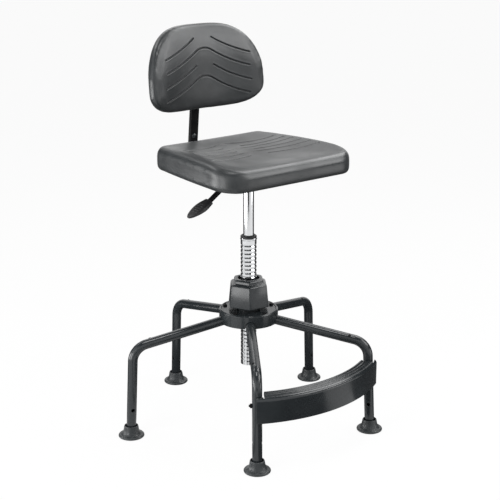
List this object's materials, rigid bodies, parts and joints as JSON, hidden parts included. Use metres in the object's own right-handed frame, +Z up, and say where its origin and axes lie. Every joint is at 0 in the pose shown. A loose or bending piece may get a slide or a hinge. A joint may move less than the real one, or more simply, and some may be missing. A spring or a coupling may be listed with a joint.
{
  "type": "industrial swivel chair",
  "caption": "Swivel work chair with moulded seat and backrest, gas lift, ring-grooved lift column with a hexagonal lock collar, bent tube legs and a footrest.",
  "frame": {"origin": "on the swivel axis at the floor", "axes": "+Z up along the swivel axis, the chair faces -Y, +X is to the left of a person sitting in it"},
  "size_m": [0.7043, 0.7035, 1.048],
  "materials": {
    "dark_paint": "satin dark grey coat on steel",
    "chrome": "polished",
    "dark_steel": "darkened steel",
    "black_plastic": "satin moulded",
    "foam_skin": "self-skinned polyurethane foam, fine satin grain",
    "plywood": "plain"
  },
  "bodies": {
    "base": {"hub_tube": "dark_paint", "hub_plate": "dark_paint", "hub_cover": "dark_paint", "hub_screws": "dark_steel", "guide_bush": "black_plastic", "collet": "black_plastic", "leg_rivets": "dark_steel", "footrest": "dark_paint", "footrest_bolts": "dark_steel", "footrest_nuts": "dark_steel", "leg_1": "dark_paint", "leg_2": "dark_paint", "leg_3": "dark_paint", "leg_4": "dark_paint", "leg_5": "dark_paint", "foot_glide_1": "black_plastic", "foot_glide_2": "black_plastic", "foot_glide_3": "black_plastic", "foot_glide_4": "black_plastic", "foot_glide_5": "black_plastic"},
    "lock": {"lock_collar": "black_plastic"},
    "column": {"lift_column": "chrome", "column_top_bush": "black_plastic", "column_base_cap": "dark_steel", "thrust_bearing": "dark_steel"},
    "piston": {"piston_rod": "dark_steel", "piston_head": "dark_steel", "rod_clip": "dark_steel"},
    "seat": {"gas_cylinder": "chrome", "cylinder_gland": "dark_steel", "seat_plate": "dark_paint", "seat_screws": "dark_steel", "seat_board": "plywood", "seat_cushion": "foam_skin", "lever_pin": "dark_steel"},
    "valve": {"valve_button": "dark_steel"},
    "lever": {"lever_rod": "dark_paint", "lever_paddle": "black_plastic"},
    "back_frame": {"back_bar": "dark_paint", "upright": "dark_paint", "upright_bolts": "dark_steel", "upright_nuts": "dark_steel"},
    "depth_clamp": {"depth_knob": "black_plastic"},
    "backrest": {"back_bracket": "dark_paint", "back_board": "plywood", "backrest_cushion": "foam_skin", "back_screws": "dark_steel"},
    "height_clamp": {"height_knob": "black_plastic"}
  },
  "joints": [
    {"name": "collar_turn", "type": "hinge", "parent": "base", "child": "lock", "pos_m": [0, 0, 0.36], "axis": [0, 0, 1], "range_deg": [-120, 0]},
    {"name": "column_lift", "type": "slide", "parent": "base", "child": "column", "axis": [0, 0, 1], "range_m": [-0.096, 0.107]},
    {"name": "seat_swivel", "type": "hinge", "parent": "column", "child": "piston", "pos_m": [0, 0, 0.3], "axis": [0, 0, 1], "continuous": true},
    {"name": "gas_lift", "type": "slide", "parent": "piston", "child": "seat", "axis": [0, 0, 1], "range_m": [-0.12, 0]},
    {"name": "lever_lift", "type": "hinge", "parent": "seat", "child": "lever", "pos_m": [-0.028, 0, 0.6771], "axis": [0, 1, 0], "range_deg": [0, 10], "stiffness_Nm_per_rad": 2, "springref_deg": -11.46},
    {"name": "valve_press", "type": "slide", "parent": "seat", "child": "valve", "axis": [0, 0, -1], "range_m": [0, 0.005]},
    {"name": "back_depth", "type": "slide", "parent": "seat", "child": "back_frame", "axis": [0, 1, 0], "range_m": [-0.02, 0.03]},
    {"name": "depth_knob_turn", "type": "hinge", "parent": "seat", "child": "depth_clamp", "pos_m": [0, 0.07, 0.655], "axis": [0, 0, 1], "continuous": true},
    {"name": "back_height", "type": "slide", "parent": "back_frame", "child": "backrest", "axis": [0, -0.0958, 0.9954], "range_m": [-0.02, 0.02]},
    {"name": "height_knob_turn", "type": "hinge", "parent": "backrest", "child": "height_clamp", "pos_m": [0, 0.21795, 0.873], "axis": [0, 0.9954, 0.0958], "continuous": true}
  ],
  "couplings": [
    {"joint": "valve_press", "follows": "lever_lift", "m_per_rad": 0.028}
  ]
}
